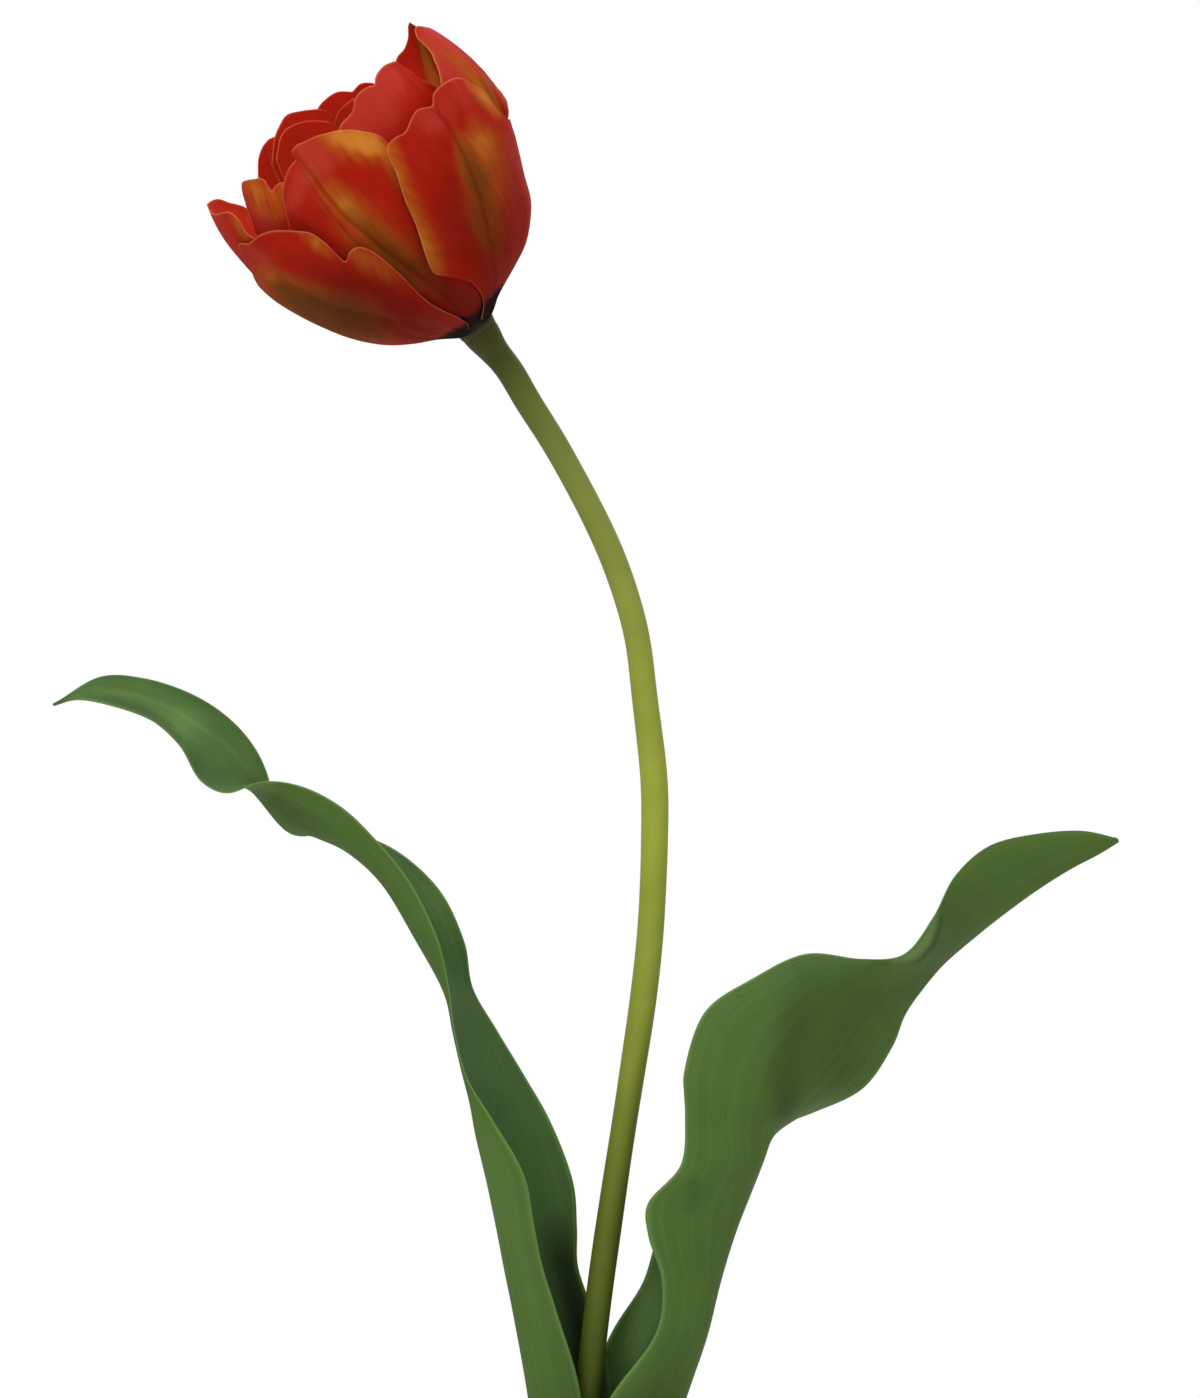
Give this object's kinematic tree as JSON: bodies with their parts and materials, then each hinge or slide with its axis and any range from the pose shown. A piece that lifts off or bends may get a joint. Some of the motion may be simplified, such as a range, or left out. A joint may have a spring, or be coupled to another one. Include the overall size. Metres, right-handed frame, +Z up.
{
  "type": "double tulip in vase",
  "caption": "Cut double tulip with one leaning bloom, a bowed stem and waved leaves, standing in water in a plain glazed vase.",
  "frame": {"origin": "middle of the vase's flat underside", "axes": "+Z up along the vase's axis; the flower is seen as in the picture when looking along +Y, with +X to the right"},
  "size_m": [0.2664, 0.0923, 0.5379],
  "materials": {
    "glaze": "plain off-white glaze, smooth and softly glossy",
    "water": "clear still water",
    "stem_green": "smooth waxy green, yellower half way up and olive towards both ends",
    "leaf_green": "waxy green blade with fine parallel veins and a thin pale margin",
    "petal_red": "satin scarlet petal with an orange and olive flame up its middle, a pale rim and a dark base",
    "heart_dark": "matte pale green pistil and dark pollen-covered stamens"
  },
  "bodies": {
    "root": {"vase": "glaze", "water": "water", "stem": "stem_green", "leaf_left": "leaf_green", "leaf_right": "leaf_green", "bloom": "petal_red", "heart": "heart_dark"}
  },
  "joints": []
}
